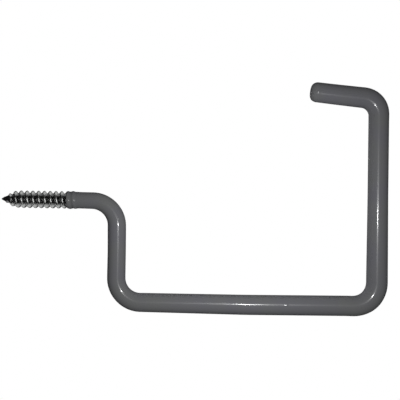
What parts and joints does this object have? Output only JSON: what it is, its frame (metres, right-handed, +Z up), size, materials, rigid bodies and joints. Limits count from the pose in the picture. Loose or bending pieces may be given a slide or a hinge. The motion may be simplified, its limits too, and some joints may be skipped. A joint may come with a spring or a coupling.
{
  "type": "ladder hook",
  "caption": "Screw-in ladder hook: a lag-threaded steel rod bent into a deep open cradle with a short return lip, dipped in grey vinyl, to hang a ladder or hose from a wall stud.",
  "frame": {"origin": "on the screw's axis in the plane of the wall's face, where the vinyl begins", "axes": "+X out of the wall along the screw, +Z up in use, so the hook lies in the XZ plane and is seen along +Y in the picture"},
  "size_m": [0.1886, 0.0102, 0.1143],
  "materials": {
    "zinc_plate": "bright zinc plate",
    "grey_vinyl": "smooth glossy dip"
  },
  "bodies": {
    "root": {"steel_rod": "zinc_plate", "vinyl_coating": "grey_vinyl"}
  },
  "joints": []
}
